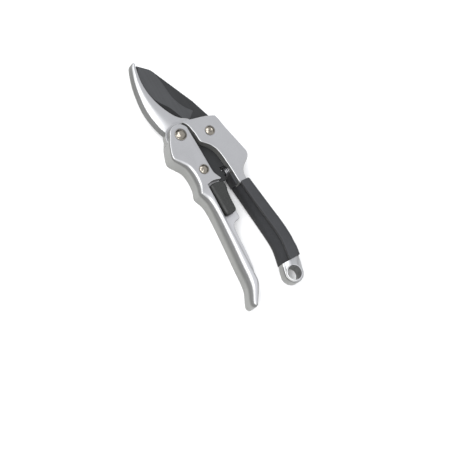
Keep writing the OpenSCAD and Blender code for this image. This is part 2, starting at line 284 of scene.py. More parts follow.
def prism(name, outline, low, high):
    """Straight-sided block with the given outline."""
    flat = np.array(outline, float)[:, :2]
    rings = [np.column_stack([flat, np.full(len(flat), z)]) for z in (low, high)]
    return rings_to_piece(name, rings)


def lathe(name, centre, profile, segments=96):
    """Solid turned round a vertical axis, from (radius, height) pairs that start and end on it."""
    turns = np.linspace(0, 2 * math.pi, segments, endpoint=False)
    verts = []
    faces = []
    inner = profile[1:-1]
    for radius, height in inner:
        verts += [(centre[0] + radius * math.cos(a), centre[1] + radius * math.sin(a), height)
                  for a in turns]
    for i in range(len(inner) - 1):
        for j in range(segments):
            k = (j + 1) % segments
            faces.append((i * segments + j, i * segments + k,
                          (i + 1) * segments + k, (i + 1) * segments + j))
    low, high = len(verts), len(verts) + 1
    verts += [(*centre, profile[0][1]), (*centre, profile[-1][1])]
    last = (len(inner) - 1) * segments
    for j in range(segments):
        k = (j + 1) % segments
        faces.append((low, k, j))
        faces.append((high, last + j, last + k))
    return new_piece(name, verts, faces)


def boolean(piece, other, operation):
    """Joins another piece to this one or cuts it out, and removes the other.

    A cutter or an added piece without a material takes this one's.
    """
    if piece.data.materials and not other.data.materials:
        other.data.materials.append(piece.data.materials[0])
    change = piece.modifiers.new("change", "BOOLEAN")
    change.operation = operation
    change.solver = "MANIFOLD"
    change.object = other
    change.material_mode = "TRANSFER"
    scene = bpy.context.evaluated_depsgraph_get()
    mesh = bpy.data.meshes.new_from_object(piece.evaluated_get(scene))
    if not mesh.polygons:
        raise RuntimeError(f"nothing is left of {piece.name} after {operation} with {other.name}")
    mesh.name = piece.name
    piece.modifiers.remove(change)
    piece.data = mesh
    bpy.data.objects.remove(other)
    return piece


def tidy(piece, sharp=32):
    """Welds doubles, moves the piece into the part's frame and shades it smooth up to an angle."""
    bm = bmesh.new()
    bm.from_mesh(piece.data)
    bmesh.ops.remove_doubles(bm, verts=bm.verts, dist=WELD)
    bmesh.ops.dissolve_degenerate(bm, dist=NO_LENGTH, edges=bm.edges)
    bmesh.ops.recalc_face_normals(bm, faces=bm.faces)
    bmesh.ops.scale(bm, vec=(0.001, 0.001, 0.001), verts=bm.verts)
    bmesh.ops.translate(bm, vec=(MAIN_PIVOT.x, MAIN_PIVOT.y, 0), verts=bm.verts)
    for face in bm.faces:
        face.smooth = True
    for edge in bm.edges:
        edge.smooth = len(edge.link_faces) == 2 and edge.calc_face_angle(0) < math.radians(sharp)
    bm.to_mesh(piece.data)
    bm.free()


def dress(piece, body, material, nodes=()):
    """Gives a finished piece its body, material and the CAD nodes that it stands for.

    A piece that already has its materials comes with None as the material.
    """
    if material is not None:
        piece.data.materials.clear()
        piece.data.materials.append(material)
    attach(piece, body)
    if nodes:
        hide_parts(*nodes)


# ---------------------------------------------------------------- materials


class Finish:
    """A material under construction, with short calls for the nodes that it needs."""

    def __init__(self, name):
        self.material = bpy.data.materials.new(name)
        self.material.use_nodes = True
        self.tree = self.material.node_tree
        self.shader = self.tree.nodes["Principled BSDF"]
        self.coords = self.tree.nodes.new("ShaderNodeTexCoord").outputs["Object"]

    def link(self, source, target):
        """Joins an output to an input."""
        self.tree.links.new(source, target)

    def stretched(self, scale, turn=0.0):
        """Object coordinates turned about Z and scaled on each axis."""
        node = self.tree.nodes.new("ShaderNodeMapping")
        node.inputs["Rotation"].default_value = (0, 0, math.radians(turn))
        node.inputs["Scale"].default_value = scale
        self.link(self.coords, node.inputs["Vector"])
        return node.outputs["Vector"]

    def noise(self, size, detail=4.0, rough=0.55, vector=None):
        """Soft noise whose spots are about the given size in metres."""
        node = self.tree.nodes.new("ShaderNodeTexNoise")
        node.inputs["Scale"].default_value = 1 / size
        node.inputs["Detail"].default_value = detail
        node.inputs["Roughness"].default_value = rough
        self.link(vector or self.coords, node.inputs["Vector"])
        return node.outputs["Fac"]

    def cells(self, size):
        """Distance to the nearest of scattered points."""
        node = self.tree.nodes.new("ShaderNodeTexVoronoi")
        node.inputs["Scale"].default_value = 1 / size
        self.link(self.coords, node.inputs["Vector"])
        return node.outputs["Distance"]

    def spread(self, value, low, high, out_low=0.0, out_high=1.0):
        """A range of values stretched over another range."""
        node = self.tree.nodes.new("ShaderNodeMapRange")
        node.clamp = True
        names = ("From Min", "From Max", "To Min", "To Max")
        for name, number in zip(names, (low, high, out_low, out_high)):
            node.inputs[name].default_value = number
        self.link(value, node.inputs["Value"])
        return node.outputs["Result"]

    def math(self, operation, first, second):
        """Sum, product or other operation on two outputs or numbers."""
        node = self.tree.nodes.new("ShaderNodeMath")
        node.operation = operation
        for socket, value in zip(node.inputs, (first, second)):
            if isinstance(value, (int, float)):
                socket.default_value = value
            else:
                self.link(value, socket)
        return node.outputs["Value"]

    def mix(self, amount, first, second):
        """Colour between two colours or colour outputs."""
        node = self.tree.nodes.new("ShaderNodeMix")
        node.data_type = "RGBA"
        self.link(amount, node.inputs["Factor"])
        for name, value in (("A", first), ("B", second)):
            socket = [s for s in node.inputs if s.name == name and s.type == "RGBA"][0]
            if isinstance(value, tuple):
                socket.default_value = (*value, 1)
            else:
                self.link(value, socket)
        return [s for s in node.outputs if s.type == "RGBA"][0]

    def bump(self, height, strength, distance, after=None):
        """Bumped normal, laid over another one if it is given."""
        node = self.tree.nodes.new("ShaderNodeBump")
        node.inputs["Strength"].default_value = strength
        node.inputs["Distance"].default_value = distance
        self.link(height, node.inputs["Height"])
        if after is not None:
            self.link(after, node.inputs["Normal"])
        return node.outputs["Normal"]

    def upward(self):
        """How far the surface faces up: 1 for the front, 0 for the sides, -1 for the back."""
        node = self.tree.nodes.new("ShaderNodeTexCoord")
        split = self.tree.nodes.new("ShaderNodeSeparateXYZ")
        self.link(node.outputs["Normal"], split.inputs["Vector"])
        return split.outputs["Z"]

    def along(self):
        """Place along the shears, in metres from the middle."""
        split = self.tree.nodes.new("ShaderNodeSeparateXYZ")
        self.link(self.coords, split.inputs["Vector"])
        return split.outputs["X"]

    def painted_shade(self, value, stops, warmth=0.0):
        """Painted shade: grey between the given (position, brightness) stops, warmer towards the
        lower ones.
        """
        node = self.tree.nodes.new("ShaderNodeValToRGB")
        ramp = node.color_ramp
        ramp.interpolation = "EASE"
        while len(ramp.elements) < len(stops):
            ramp.elements.new(1.0)
        for element, (position, level) in zip(ramp.elements, stops):
            blue = 1 - warmth * (1 - position ** 4)
            element.position = position
            element.color = (level, level, level * blue, 1)
        self.link(value, node.inputs["Fac"])
        return node.outputs["Color"]

    def tinted(self, color, by):
        """Colour multiplied by another colour output."""
        node = self.tree.nodes.new("ShaderNodeMix")
        node.data_type = "RGBA"
        node.blend_type = "MULTIPLY"
        node.inputs["Factor"].default_value = 1
        first, second = [s for s in node.inputs if s.type == "RGBA"]
        self.link(color, first)
        self.link(by, second)
        return [s for s in node.outputs if s.type == "RGBA"][0]

    def wear_and_highlight(self):
        """Pointiness: light on convex edges, dark in hollows; the edges it lightens are partly wear
        and partly a painted highlight.
        """
        node = self.tree.nodes.new("ShaderNodeNewGeometry")
        return node.outputs["Pointiness"]

    def finish(self, color=None, roughness=None, normal=None, **constants):
        """Connects the shader, sets its constants and returns the material."""
        for socket, value in (("Base Color", color), ("Roughness", roughness), ("Normal", normal)):
            if value is not None:
                self.link(value, self.shader.inputs[socket])
        for name, value in constants.items():
            socket = name.replace("_", " ").title().replace("Ior", "IOR")
            self.shader.inputs[socket].default_value = value
        return self.material


def shade(colour, factor):
    """Colour made lighter or darker."""
    return tuple(min(1.0, c * factor) for c in colour)


# Painted highlight and shade on blasted aluminium, by how far the surface faces up, from the back to
# the front
PAINTED_SHADE_BY_FACING = [(0.0, 0.8), (0.4, 0.62), (0.5, 0.55), (0.66, 0.3), (0.78, 0.42), (0.88, 0.95),
                (0.97, 0.95), (1.0, 0.74)]
# The same with lighter flats, which are painted light too, and where along the lower handle they
# start and are full, in metres
PAINTED_LIGHT_FLATS_SHADE = PAINTED_SHADE_BY_FACING[:-2] + [(1.0, 0.97)]
LIGHT_FROM, LIGHT_FULL = -0.006, -0.018
PAINTED_SHADE_WARMTH = 0.07  # blue that the painted shade of a casting loses away from the front


def casting_finish(name, colour, painted_facing_shade, painted_light_flats=False):
    """Blasted aluminium: fine bright grain, slow clouds, lighter edges and a few smoother streaks.

    Its brightness also follows the way that the surface faces, as painted highlight and shade. With
    light flats, the faces that look straight up are lighter behind the pivots than near them, which
    is painted light too. The lighter edges are partly wear and partly a painted highlight.
    """
    f = Finish(name)
    grain = f.noise(sizes().grain_size, 3, 0.7)
    cloud = f.noise(0.018, 4, 0.6)
    marks = f.noise(0.0011, 2, 0.5, f.stretched((1.0, 0.12, 0.4), 24))
    base = f.mix(f.spread(cloud, 0.3, 0.7), shade(colour, 0.95), shade(colour, 1.03))
    base = f.mix(f.spread(grain, 0.35, 0.7), base, shade(colour, 1.12))
    base = f.mix(f.spread(f.wear_and_highlight(), 0.52, 0.6), base, shade(colour, 1.25))
    facing = f.spread(f.upward(), -1, 1)
    # painted highlight and shade: the colour follows how far the surface faces up
    painted_shade = f.painted_shade(facing, painted_facing_shade, PAINTED_SHADE_WARMTH)
    # painted light: faces that look straight up are made lighter behind the pivots
    if painted_light_flats:
        painted_shade = f.mix(f.spread(f.along(), LIGHT_FULL, LIGHT_FROM, 1, 0), painted_shade,
                      f.painted_shade(facing, PAINTED_LIGHT_FLATS_SHADE, PAINTED_SHADE_WARMTH))
    base = f.tinted(base, painted_shade)
    rough = f.math("ADD", f.spread(grain, 0.3, 0.7, 0.34, 0.44),
                   f.spread(marks, 0.62, 0.75, 0.0, -0.08))
    normal = f.bump(grain, 0.16, 0.00008)
    normal = f.bump(f.noise(0.0028, 3, 0.6), 0.10, 0.00012, normal)
    return f.finish(base, rough, normal, metallic=0.72, ior=1.45)


# Painted shade on the rubber by how far it faces up; its upright sides are the darkest
GRIP_PAINTED_SHADE = [(0.0, 0.3), (0.46, 0.1), (0.62, 0.4), (0.74, 0.75), (0.95, 0.75), (1.0, 1.0)]


def grip_finish(name):
    """Moulded rubber: dark grey with faint clouds and specks, a fine skin, painted shade by facing
    and lighter edges, partly wear and partly a painted highlight.
    """
    f = Finish(name)
    colour = tuple(colours().grip)
    cloud = f.noise(0.012, 5, 0.6)
    speck = f.noise(0.0005, 2, 0.5)
    base = f.mix(f.spread(cloud, 0.3, 0.7), shade(colour, 0.85), shade(colour, 1.15))
    base = f.mix(f.spread(speck, 0.55, 0.8), base, shade(colour, 1.5))
    base = f.mix(f.spread(f.wear_and_highlight(), 0.53, 0.62), base, shade(colour, 2.0))
    facing = f.spread(f.upward(), -1, 1)
    # painted shade: the rubber's colour follows how far it faces up
    base = f.tinted(base, f.painted_shade(facing, GRIP_PAINTED_SHADE))
    rough = f.spread(cloud, 0.3, 0.7, 0.56, 0.68)
    normal = f.bump(speck, 0.22, 0.00012)
    normal = f.bump(f.noise(0.004, 3, 0.5), 0.12, 0.0003, normal)
    return f.finish(base, rough, normal, ior=1.5, specular_ior_level=0.32,
                    sheen_weight=0.1, sheen_roughness=0.4)


def blade_finish(name, colour, turn, rough, shine):
    """Dark coating with fine lines in one direction, faint clouds and lighter edges, partly wear and
    partly a painted highlight.
    """
    f = Finish(name)
    lines = f.noise(0.0016, 3, 0.6, f.stretched((0.03, 1.0, 1.0), turn))
    fine = f.noise(0.0004, 3, 0.6, f.stretched((0.08, 1.0, 1.0), turn))
    cloud = f.noise(0.011, 4, 0.6)
    base = f.mix(f.spread(cloud, 0.3, 0.7), shade(colour, 0.9), shade(colour, 1.1))
    base = f.mix(f.spread(lines, 0.4, 0.75), base, shade(colour, 1.22))
    base = f.mix(f.spread(f.wear_and_highlight(), 0.56, 0.66), base, shade(colour, 2.6))
    roughness = f.spread(fine, 0.3, 0.7, rough - 0.05, rough + 0.06)
    normal = f.bump(lines, 0.10, 0.00008)
    normal = f.bump(fine, 0.08, 0.00004, normal)
    return f.finish(base, roughness, normal, specular_ior_level=shine)


def steel_finish(name, colour, rough, dents=0.0):
    """Steel with fine marks, a slow change of tone, lighter edges, partly wear and partly a painted
    highlight, and, if asked for, soft dents.
    """
    f = Finish(name)
    cloud = f.noise(0.003, 4, 0.6)
    marks = f.noise(0.0007, 3, 0.6, f.stretched((1.0, 1.0, 0.15)))
    base = f.mix(f.spread(cloud, 0.3, 0.7), shade(colour, 0.82), shade(colour, 1.08))
    base = f.mix(f.spread(f.wear_and_highlight(), 0.53, 0.62), base, shade(colour, 1.3))
    roughness = f.spread(marks, 0.3, 0.7, rough * 0.75, rough * 1.3)
    normal = f.bump(marks, 0.12, 0.00004)
    if dents:
        normal = f.bump(f.noise(0.0032, 1, 0.4), dents, 0.0008, normal)
    return f.finish(base, roughness, normal, metallic=1.0)


def lock_finish(name):
    """Black plastic with a finely pitted surface and lighter edges, partly wear and partly a painted
    highlight.
    """
    f = Finish(name)
    colour = tuple(colours().lock)
    cells = f.cells(0.0009)
    speck = f.noise(0.0006, 3, 0.6)
    cloud = f.noise(0.006, 3, 0.5)
    base = f.mix(f.spread(cells, 0.1, 0.6), shade(colour, 1.7), shade(colour, 0.7))
    base = f.mix(f.spread(f.wear_and_highlight(), 0.52, 0.6), base, shade(colour, 1.8))
    roughness = f.spread(cloud, 0.3, 0.7, 0.48, 0.62)
    normal = f.bump(cells, 0.45, 0.00022)
    normal = f.bump(speck, 0.3, 0.00012, normal)
    return f.finish(base, roughness, normal, ior=1.5)


def plastic_finish(name):
    """Plain nylon of the washers."""
    f = Finish(name)
    cloud = f.noise(0.003, 3, 0.5)
    base = f.mix(f.spread(cloud, 0.3, 0.7), (0.72, 0.70, 0.64), (0.84, 0.82, 0.77))
    return f.finish(base, f.spread(cloud, 0.3, 0.7, 0.4, 0.55), f.bump(cloud, 0.1, 0.0001),
                    ior=1.53)


def floor_finish(name):
    """Pale matt paper floor with a faint tooth."""
    f = Finish(name)
    colour = tuple(colours().floor)
    tooth = f.noise(0.0009, 3, 0.6)
    cloud = f.noise(0.3, 3, 0.5)
    base = f.mix(f.spread(cloud, 0.3, 0.7), shade(colour, 0.985), colour)
    return f.finish(base, f.spread(tooth, 0.3, 0.7, 0.8, 0.9), f.bump(tooth, 0.04, 0.0001))


def finish_once(name, make, *details):
    """The material of that name, made the first time that it is asked for."""
    return bpy.data.materials.get(name) or make(name, *details)


def aluminium():
    """Blasted aluminium of the body."""
    return finish_once("blasted_aluminium", casting_finish, tuple(colours().casting), PAINTED_SHADE_BY_FACING)


def lower_handle_aluminium():
    """Blasted aluminium of the lower handle, with lighter flats painted as light."""
    return finish_once("lower_handle_aluminium", casting_finish, tuple(colours().casting),
                       PAINTED_SHADE_BY_FACING, True)


def rim_aluminium():
    """Aluminium of the rim round the hanging hole, lightened 1.5 times as a painted highlight, with
    painted shade by facing.
    """
    return finish_once("rim_aluminium", casting_finish, shade(tuple(colours().casting), 1.5),
                       [(0.0, 0.8), (0.6, 0.8), (1.0, 1.0)])


def hole_aluminium():
    """Aluminium of the hanging hole's wall, darkened to 0.45 as painted shade in the hole."""
    return finish_once("hole_aluminium", casting_finish, shade(tuple(colours().casting), 0.45),
                       [(0.0, 0.9), (1.0, 1.0)])


def rubber():
    """Rubber of the grip and the stop buffer."""
    return finish_once("moulded_rubber", grip_finish)


def rivet_steel():
    """Steel of the bolt, the nut, the rivets, the bush and the detent ball, with soft dents."""
    return finish_once("polished_rivet", steel_finish, tuple(colours().rivet), 0.13, 0.7)


def spring_wire():
    """Wire of the springs."""
    return finish_once("spring_wire", steel_finish, (0.32, 0.32, 0.33), 0.36)


def bare_steel():
    """Steel of the pawl, the lock plate, the lock washer and the lock's foot."""
    return finish_once("bare_steel", steel_finish, (0.3, 0.3, 0.31), 0.38)


# ---------------------------------------------------------------- castings

# Heights and radii of the hinge and heights of the blade slot, in millimetres
TONGUE_LOW, TONGUE_HIGH, TONGUE_RADIUS = 5.0, 12.0, 10.5
FORK_LOW, FORK_HIGH, FORK_RADIUS = 4.6, 12.4, 11.0
SLOT_LOW, SLOT_HIGH = 6.5, 10.5
MIDDLE_HEIGHT = 8.5
SPRING_POCKET = (-38.4, -31.2)


def body_outline():
    """Outline of the body's cheeks, with the rounding that each stretch has."""
    thin = sizes().edge_round * 1000
    shoulder = arc(TONGUE_RADIUS - 0.5, -40, -86, 12, (thin, thin))
    shoulder[:4, 2:] *= np.array([[0.3], [0.5], [0.7], [0.9]])  # narrower towards the tip
    inner = smooth([
        *edged([(-3.6, -10.9), (-10.6, -11.4), (-13, -13.65), (-17.7, -18.15), (-24.8, -21.05)],
               thin, thin),
        [-39.8, -22.4, 1, 1.2], [-53, -22.6, 1.2, 1.8]])
    back = smooth([
        [-53, -30.9, 2, 2.8], [-47.2, -31, 1.9, 2.6], [-42.4, -33.7, 1.6, 2.4],
        [-37.2, -40.4, 1.3, 2.2], [-33.2, -42.3, 1.3, 2.2], [-28.9, -41.6, 1.3, 2.2],
        [-9.8, -36.9, 1.2, 2], [0.4, -34.8, 1, 1.4], [3, -33.5, 0.8, 0.9]])
    front = smooth([
        [3, -33.5, 0.8, 0.9], [5.4, -25.8, 0.5, 0.6], [7.7, -13.65, 0.5, 0.6],
        [8.6, -9.8, 0.35, 0.4], [8.9, -7.9, 0.25, 0.3], [8.5, -6.7, 0.2, 0.25]])
    return join(shoulder, inner, back, front)


BLADE_SLOT = [
    [40, 30], [-35.4, 30], [-35.4, -25.2], [-32.6, -33.4], [-8, -33.4], [-3.6, -36],
    [-3, -50], [40, -50]]

# Stations along the hook: shearing edge, ridge, rim and back, each as x, y
HOOK_STATIONS = [
    [4.5, -15.5, 3.5, 0.5, 3.0, 5.0, 2.5, 6.5],
    [9.6, -15.0, 7.9, 0.6, 6.6, 6.4, 6.0, 8.3],
    [13.3, -9.0, 12.3, 3.8, 11.2, 8.0, 10.7, 10.3],
    [17.2, -5.3, 17.0, 5.9, 16.5, 9.2, 16.2, 11.8],
    [21.8, -2.5, 22.2, 7.4, 22.0, 10.3, 21.8, 12.9],
    [27.0, 0.0, 27.5, 8.4, 27.5, 11.0, 27.4, 13.4],
    [33.0, 2.2, 33.5, 9.1, 33.6, 11.2, 33.7, 13.4],
    [39.5, 3.8, 40.0, 9.0, 40.3, 10.7, 40.5, 12.6],
    [46.0, 4.4, 46.7, 8.2, 47.3, 9.7, 47.7, 11.4],
    [52.5, 4.1, 53.5, 6.9, 54.5, 8.1, 55.1, 9.4],
    [58.2, 3.1, 59.6, 5.2, 60.7, 6.1, 61.4, 7.2],
    [62.4, 2.1, 63.9, 3.7, 65.0, 4.4, 65.6, 5.2],
    [65.0, 1.4, 66.2, 2.2, 67.0, 2.7, 67.3, 3.1],
    [66.4, 1.2, 66.9, 1.4, 67.2, 1.5, 67.4, 1.6]]


def hook_section(row):
    """Points round the hook at one station, from its shearing edge over the front to its back."""
    edge, ridge, rim, back = (np.array(row[i:i + 2]) for i in (0, 2, 4, 6))
    face = 12.15
    drop = min(2.6, 0.4 + 0.22 * np.linalg.norm(rim - edge))

    def between(a, b, t):
        return a + (b - a) * t

    stations = [(edge, 10.1), (edge, face - 0.35), (between(edge, rim, 0.03), face - 0.08)]
    for t in (0.08, 0.3, 0.45, 0.55, 0.65, 0.74, 0.82, 0.89, 0.95, 1.0):
        stations.append((between(edge, rim, t), face - drop * max(0, (t - 0.4) / 0.6) ** 1.9))
    shoulder = face - drop
    stations += [
        (between(rim, back, 0.14), shoulder - 0.5), (between(rim, back, 0.45), shoulder - 1.6),
        (between(rim, back, 0.9), min(7.2, shoulder - 3.2)), (back, min(6.4, shoulder - 3.8)),
        (between(back, rim, 0.15), 5.3),
        (between(back, rim, 0.6), 5.0), (between(ridge, rim, 0.1), 5.0),
        (between(ridge, rim, -0.1), 5.5), (between(ridge, rim, -0.12), 9.6),
        (between(ridge, edge, 0.12), 10.1)]
    return np.array([[p[0], p[1], z] for p, z in stations])


def hook_jaw():
    """Hook jaw: thin web along the blade, rounded ridge and a thick back, clear of the fork."""
    rows = smooth(HOOK_STATIONS, 6)
    hook = rings_to_piece("hook", [hook_section(row) for row in rows])
    clear = prism("clear", arc(FORK_RADIUS + 0.6, 0, 350, 35), TONGUE_HIGH, 30)
    return boolean(hook, clear, "DIFFERENCE")


# Stations of the cap's roof: x, then y and z of its inner foot, its ridge and its outer foot
ROOF_STATIONS = [
    [-121.6, -22.3, 12.0, -27.7, 14.7, -36.7, 12.7], [-124, -21.3, 12.0, -27.6, 14.5, -36.1, 12.6],
    [-127, -21.0, 12.0, -27.3, 14.3, -34.0, 12.6], [-130, -21.4, 12.0, -27.0, 14.1, -32.6, 12.6]]


def roof_section(x, inner, inner_z, ridge, ridge_z, outer, outer_z):
    """Points over the cap's roof at one place along it."""
    points = [
        (inner, 9), (inner, inner_z - 0.3), (inner - 0.3, inner_z),
        (ridge * 0.5 + inner * 0.5, ridge_z * 0.55 + inner_z * 0.45), (ridge + 0.8, ridge_z - 0.15),
        (ridge - 0.2, ridge_z), (ridge - 1.4, ridge_z - 0.1),
        (ridge * 0.4 + outer * 0.6, ridge_z * 0.4 + outer_z * 0.6), (outer + 0.4, outer_z),
        (outer, outer_z - 0.4), (outer, 9)]
    return np.array([[x, y, z] for y, z in points])


def end_cap():
    """End of the upper handle: a low roof that runs into the raised rim of the hanging hole."""
    low, shelf, top = 3.0, 12.4, 14.3
    radius = sizes().hang_radius * 1000
    rounding = (1.2, 1.5)
    edge = edged([(-121.5, -22.5), (-125, -20.8), (-129, -19.6), (-131.2, -19.15)], *rounding)
    outer = arc(8.05, 90, 270, 24, rounding, (-131.2, -27.2))
    back = edged([(-131.2, -35.25), (-126, -36.9), (-121.5, -37.7)], *rounding)
    cap = plate("cap", join(smooth(edge), outer, smooth(back)), low, shelf, 0.8)
    cap.data.materials.append(aluminium())
    boolean(cap, rings_to_piece("roof", [roof_section(*row) for row in ROOF_STATIONS]), "UNION")
    rim = lathe("rim", HANG_AXIS, [
        (0, 6), (radius + 0.7, 6), (radius + 0.7, top - 0.5), (radius + 0.64, top - 0.2),
        (radius + 0.5, top - 0.05), (radius + 0.4, top), (0, top)], 72)
    # the rim's aluminium carries a painted highlight
    rim.data.materials.append(rim_aluminium())
    boolean(cap, rim, "UNION")
    hole = lathe("hole", HANG_AXIS, [
        (0, low - 1), (radius + 0.8, low - 1), (radius, low + 0.6), (radius, top - 0.45),
        (radius + 0.06, top - 0.2), (radius + 0.22, top + 0.05), (radius + 0.22, top + 3),
        (0, top + 3)], 72)
    # the hole's wall takes aluminium darkened as painted shade
    hole.data.materials.append(hole_aluminium())
    return boolean(cap, hole, "DIFFERENCE")


def handle_core():
    """Core of the upper handle, inside the grip."""
    line = smooth([[-50, -26.9], [-60, -27.6], [-80, -29.8], [-100, -31.6], [-110, -31.1],
                   [-123, -29.4]], 4)
    outline = join(line + [0, 2.1], (line - [0, 4.4])[::-1])
    return prism("core", outline, 3.8, 11.2)


def make_body_casting():
    """Body with its tongue, hook jaw, handle core and end cap, and its slot, pocket and seats."""
    body = plate("upper_body", body_outline(), 0, sizes().body_top * 1000)
    body.data.materials.append(aluminium())
    boolean(body, prism("slot", BLADE_SLOT, SLOT_LOW, SLOT_HIGH), "DIFFERENCE")
    tongue = arc(TONGUE_RADIUS, 0, 357, 119, (0.4, 0.4))
    boolean(body, plate("tongue", join(tongue), TONGUE_LOW, TONGUE_HIGH, 0.4), "UNION")
    boolean(body, hook_jaw(), "UNION")
    boolean(body, handle_core(), "UNION")
    boolean(body, end_cap(), "UNION")
    pocket = lathe("spring_pocket", (0, 0), [(0, 0), (4.1, 0), (4.1, 14), (0, 14)], 48)
    turn = Matrix.Rotation(math.radians(-90), 4, "X")
    pocket.data.transform(Matrix.Translation((*SPRING_POCKET, MIDDLE_HEIGHT)) @ turn)
    boolean(body, pocket, "DIFFERENCE")
    buffer = [[-51.9, -23.6], [-42.9, -23.6], [-42.9, -20], [-51.9, -20]]
    boolean(body, prism("buffer_seat", buffer, 2, 15), "DIFFERENCE")
    boolean(body, head_seat(BLADE_AXIS, 3.8), "DIFFERENCE")
    tidy(body)
    dress(body, "body", None, ["body_casting"])


def lower_handle_outline():
    """Outline of the lower handle, as x, y, rounding width, rounding depth and lower softness."""
    head = arc(8.8, -66, 62, 22, (1.1, 1.0, 0))
    finger_side = smooth([
        [3.4, 7.9, 1.1, 1.1, 0], [-2.3, 11.6, 1.2, 1.5, 0], [-8.5, 14.3, 1.2, 1.8, 0],
        [-13.2, 15.6, 1.5, 2.4, 0.2], [-16.2, 14.8, 2.0, 3, 0.4], [-20.5, 11.6, 2.9, 4, 0.8],
        [-24.5, 9.0, 3.3, 5, 1], [-28.2, 8.0, 3.6, 5.5, 1.2], [-33.5, 7.6, 3.7, 6, 1.2],
        [-40, 8.2, 3.5, 6, 1.2], [-44.5, 9.8, 2.8, 5.5, 1], [-47, 10.4, 2.5, 5, 1],
        [-49.5, 9.6, 3.4, 5.5, 1], [-53.5, 7.9, 4.5, 6.5, 1.2], [-58.5, 7.3, 4.6, 7, 1.4],
        [-68.5, 7.6, 4.7, 8, 1.6], [-88.5, 9.3, 5.0, 9, 1.8], [-108.5, 11.2, 5.3, 9, 1.8],
        [-119, 12, 5.2, 8.5, 1.8], [-126, 13.4, 4.5, 7.5, 1.8], [-134.2, 17.4, 3.4, 6.5, 1.6],
        [-137.2, 18.4, 3.0, 6, 1.6], [-139.4, 17.8, 2.7, 5.5, 1.6], [-140.5, 16, 2.4, 5, 1.6],
        [-139.9, 14, 2.2, 4.5, 1.4]])
    inner = smooth([
        [-139.9, 14, 2.2, 4.5, 1.4], [-135.5, 10.7, 2.3, 4.4, 1.4], [-130, 6.6, 2.8, 4.6, 1.4],
        [-125, 4.0, 2.7, 4.2, 1.2], [-120, 3.4, 2.4, 3.6, 1.2], [-100, 3, 1.5, 2.2, 1],
        [-80, 2.6, 0.9, 1.4, 0.6], [-64, 1.7, 0.8, 1, 0.4], [-43, 1.1, 0.6, 0.7, 0]])
    ledge = smooth([
        [-43, 1.1, 0.5, 0.5, 0], [-42.2, -3.1, 0.5, 0.5, 0], [-42.4, -6.8, 0.5, 0.5, 0],
        [-43.2, -10.2, 0.5, 0.5, 0], [-42.6, -11.2, 0.5, 0.5, 0], [-40.1, -10, 0.6, 0.6, 0],
        [-36.6, -8.4, 0.6, 0.6, 0], [-33, -8.1, 0.6, 0.6, 0]])
    return join(head, finger_side, inner, ledge, [[-12, -8.1, 0.6, 0.6, 0]])


TANG_SLOT = [
    [-54.3, -14], [-54.3, -2.8], [-53.6, -0.4], [-51, 2], [-47.4, 3.4], [-44, 3.4],
    [-28, 2.4], [-23, 0.9], [-17, 0.9], [-8, -3], [-8, -14]]


def flange_outline():
    """Thin flange along the inner side, with the bed of the thumb lock."""
    bed = [[-39, 5], [-39, -6], [-41, -9.6], [-43.6, -10.7], [-60, -10.8], [-73.6, -10.7],
           [-75.2, -10.3], [-76.1, -9.4]]
    edge = smooth([
        [-76.3, -8.6], [-76.45, -6.8], [-77.4, -4.4], [-80.7, -2.3], [-89.3, -1.6],
        [-99.3, -0.9], [-109.3, 0.2], [-115, 1.4], [-124, 5]])
    return np.array(edged(join(bed, edge), 0.5, 0.5))


def make_lower_handle():
    """Lower handle with its flange and lock bed, and its slots and seats."""
    top = sizes().body_top * 1000
    handle = plate("lower_handle_shell", lower_handle_outline(), 0, top, 1.2, 10)
    boolean(handle, plate("flange", flange_outline(), 4.4, 12.5, 0.5), "UNION")
    bed = [[-44, 3], [-44, -10.2], [-74.2, -10.2], [-75.8, -9], [-75.8, 4]]
    boolean(handle, prism("bed", bed, 2, 8.5), "UNION")
    fork = prism("fork", arc(FORK_RADIUS, 0, 355, 71), FORK_LOW, FORK_HIGH)
    boolean(handle, fork, "DIFFERENCE")
    boolean(handle, prism("tang_slot", TANG_SLOT, SLOT_LOW, SLOT_HIGH), "DIFFERENCE")
    nut_seat = lathe("nut_seat", MAIN_AXIS, [(0, -1), (5.3, -1), (5.3, 3), (0, 3)], 72)
    boolean(handle, nut_seat, "DIFFERENCE")
    rivet_seat = lathe("rivet_seat", PAWL_AXIS, [(0, -1), (3.8, -1), (3.8, 1.2), (0, 1.2)], 48)
    boolean(handle, rivet_seat, "DIFFERENCE")
    for centre, radius in ((MAIN_AXIS, 4.6), (PAWL_AXIS, 3.75)):
        boolean(handle, head_seat(centre, radius), "DIFFERENCE")
    wedge = [[-0.6, 9.8], [2.6, 9.2], [4, 13], [-2.7, 13.6]]
    boolean(handle, prism("wedge", wedge, FORK_LOW, FORK_HIGH), "DIFFERENCE")
    channel = [[-74.5, -6.9], [-53, -6.9], [-53, -1.1], [-74.5, -1.1]]
    boolean(handle, prism("channel", channel, 6.9, 10.1), "DIFFERENCE")
    tidy(handle)
    dress(handle, "lower_handle", lower_handle_aluminium(), ["lower_handle"])


def head_seat(centre, radius):
    """Cutter for the shallow seat round a rivet's head."""
    gap, depth = 0.42, 0.35
    top = sizes().body_top * 1000
    outline = arc(radius + gap, 0, 355, 71, centre=centre)
    return prism("seat", outline, top - depth, top + 1)


# ---------------------------------------------------------------- grip

# Stations along the grip: x, inner side, ridge of the front face, outer side
GRIP_STATIONS = [
    [-51.6, -21.4, -23.9, -33.4], [-60, -22.1, -24.7, -34.5], [-70, -22.9, -25.7, -35.8],
    [-80, -23.8, -26.8, -37.1], [-90, -24.6, -28.0, -38.5], [-98, -25.2, -28.9, -39.3],
    [-105.5, -25.5, -29.2, -39.6], [-110, -25.0, -28.8, -39.3], [-114.3, -24.1, -28.0, -39.2],
    [-118, -23.2, -27.4, -38.6], [-121.6, -22.3, -26.9, -37.9]]


